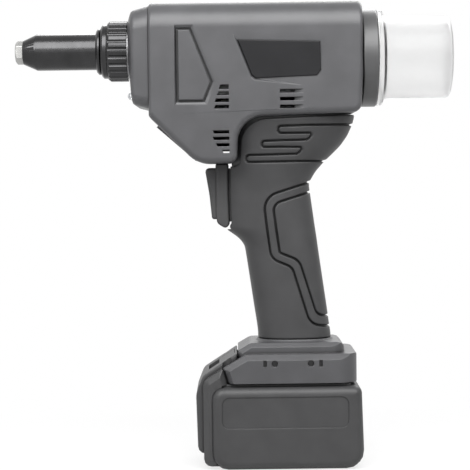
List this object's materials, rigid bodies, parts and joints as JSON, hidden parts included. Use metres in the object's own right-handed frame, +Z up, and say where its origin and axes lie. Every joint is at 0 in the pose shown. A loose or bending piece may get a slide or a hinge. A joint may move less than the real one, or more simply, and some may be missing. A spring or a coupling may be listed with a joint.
{
  "type": "cordless rivet tool",
  "caption": "Pistol-grip cordless tool that sets blind rivets, with a fluted nose nut, hexagon tip, slide-on battery and a clear bottle for spent mandrels.",
  "frame": {"origin": "bottom centre of the box, on the surface the battery stands on", "axes": "+Z up, -X along the nose, the shells split at Y = 0"},
  "size_m": [0.3004, 0.075, 0.315],
  "materials": {
    "shell_plastic": "fine moulded grain",
    "grip_rubber": "soft overmoulded skin",
    "trigger_plastic": "satin moulded",
    "plate_gloss": "polished black",
    "clear_lens": "clear moulded",
    "bright_steel": "ground",
    "black_steel": "black oxide, turned",
    "cast_alloy": "die cast",
    "gear_steel": "hobbed and hardened",
    "screw_steel": "black zinc",
    "spring_steel": "drawn wire",
    "black_plastic": "moulded",
    "tube_plastic": "extruded",
    "motor_steel": "zinc plated, drawn",
    "magnet": "sintered",
    "winding": "enamelled copper on a steel stack",
    "board": "solder mask",
    "contact_brass": "stamped",
    "ring_plastic": "moulded",
    "seal_rubber": "moulded",
    "bottle_clear": "translucent blow moulding",
    "pack_plastic": "fine moulded grain",
    "cell_sleeve": "shrink sleeve"
  },
  "bodies": {
    "tool": {"left_housing": "shell_plastic", "right_housing": "shell_plastic", "left_grip": "grip_rubber", "right_grip": "grip_rubber", "front_cap": "shell_plastic", "left_side_panel": "shell_plastic", "right_side_panel": "shell_plastic", "name_plate": "plate_gloss", "housing_screws": "screw_steel", "work_light": "clear_lens", "nosepiece": "bright_steel", "nose_sleeve": "black_steel", "sleeve_collar": "black_steel", "nose_nut": "black_steel", "gear_frame": "cast_alloy", "frame_cover": "cast_alloy", "front_bearing": "gear_steel", "rear_bearing": "gear_steel", "mandrel_tube": "tube_plastic", "idler_pin": "gear_steel", "ring_gear": "gear_steel", "motor_can": "motor_steel", "motor_magnets": "magnet", "motor_end_cap": "black_plastic", "trigger_switch": "black_plastic", "trigger_spring": "spring_steel", "control_board": "board", "terminal_block": "black_plastic", "terminal_blades": "contact_brass", "collector_ring": "ring_plastic", "collector_seal": "seal_rubber"},
    "rotor": {"motor_rotor": "winding", "motor_fan": "tube_plastic"},
    "carrier": {"carrier": "gear_steel"},
    "planet_1": {"planet_gear_1": "gear_steel"},
    "planet_2": {"planet_gear_2": "gear_steel"},
    "planet_3": {"planet_gear_3": "gear_steel"},
    "idler": {"idler_gear": "gear_steel"},
    "nut": {"ball_nut": "gear_steel"},
    "pull": {"pull_spindle": "gear_steel", "screw_guide": "black_plastic", "jaw_case": "gear_steel", "jaw_spring": "spring_steel"},
    "jaw_set": {"jaws": "gear_steel", "jaw_pusher": "gear_steel"},
    "trigger": {"trigger": "trigger_plastic"},
    "battery": {"battery_lower_case": "pack_plastic", "battery_upper_case": "pack_plastic", "battery_cells": "cell_sleeve", "cell_holder": "black_plastic", "battery_board": "board", "battery_contacts": "contact_brass", "latch_spring": "spring_steel", "battery_screws": "screw_steel"},
    "latch": {"latch_button": "pack_plastic"},
    "bottle": {"collector_bottle": "bottle_clear"}
  },
  "joints": [
    {"name": "pull_slide", "type": "slide", "parent": "tool", "child": "pull", "axis": [1, 0, 0], "range_m": [0, 0.025]},
    {"name": "rotor_spin", "type": "hinge", "parent": "tool", "child": "rotor", "pos_m": [0, 0, 0.23525], "axis": [1, 0, 0], "range_deg": [0, 17503.2]},
    {"name": "carrier_spin", "type": "hinge", "parent": "tool", "child": "carrier", "pos_m": [0, 0, 0.23525], "axis": [1, 0, 0], "range_deg": [0, 4375.8]},
    {"name": "planet_1_spin", "type": "hinge", "parent": "carrier", "child": "planet_1", "pos_m": [0, 0, 0.24485], "axis": [1, 0, 0], "range_deg": [-13127.4, 0]},
    {"name": "planet_2_spin", "type": "hinge", "parent": "carrier", "child": "planet_2", "pos_m": [0, -0.00831, 0.23045], "axis": [1, 0, 0], "range_deg": [-13127.4, 0]},
    {"name": "planet_3_spin", "type": "hinge", "parent": "carrier", "child": "planet_3", "pos_m": [0, 0.00831, 0.23045], "axis": [1, 0, 0], "range_deg": [-13127.4, 0]},
    {"name": "idler_spin", "type": "hinge", "parent": "tool", "child": "idler", "pos_m": [0, 0, 0.25338], "axis": [1, 0, 0], "range_deg": [-4084.08, 0]},
    {"name": "nut_spin", "type": "hinge", "parent": "tool", "child": "nut", "pos_m": [0, 0, 0.284], "axis": [1, 0, 0], "range_deg": [0, 1801.8]},
    {"name": "jaw_release", "type": "slide", "parent": "pull", "child": "jaw_set", "axis": [1, 0, 0], "range_m": [0, 0.002], "stiffness_N_per_m": 1500, "springref_m": -0.002, "deforming": ["jaw_spring"]},
    {"name": "trigger_pull", "type": "slide", "parent": "tool", "child": "trigger", "axis": [1, 0, 0], "range_m": [0, 0.007], "stiffness_N_per_m": 500, "springref_m": -0.004, "deforming": ["trigger_spring"]},
    {"name": "battery_slide", "type": "slide", "parent": "tool", "child": "battery", "axis": [-1, 0, 0], "range_m": [0, 0.1]},
    {"name": "latch_press", "type": "slide", "parent": "battery", "child": "latch", "axis": [0, 0, -1], "range_m": [0, 0.0045], "stiffness_N_per_m": 800, "springref_m": -0.003, "deforming": ["latch_spring"]},
    {"name": "bottle_off", "type": "slide", "parent": "tool", "child": "bottle", "axis": [1, 0, 0], "range_m": [0, 0.06]}
  ],
  "couplings": [
    {"joint": "nut_spin", "follows": "pull_slide", "rad_per_m": 1256.6},
    {"joint": "idler_spin", "follows": "pull_slide", "rad_per_m": -2848.4},
    {"joint": "carrier_spin", "follows": "pull_slide", "rad_per_m": 3051.8},
    {"joint": "rotor_spin", "follows": "pull_slide", "rad_per_m": 12207},
    {"joint": "planet_1_spin", "follows": "pull_slide", "rad_per_m": -9155.5},
    {"joint": "planet_2_spin", "follows": "pull_slide", "rad_per_m": -9155.5},
    {"joint": "planet_3_spin", "follows": "pull_slide", "rad_per_m": -9155.5}
  ]
}
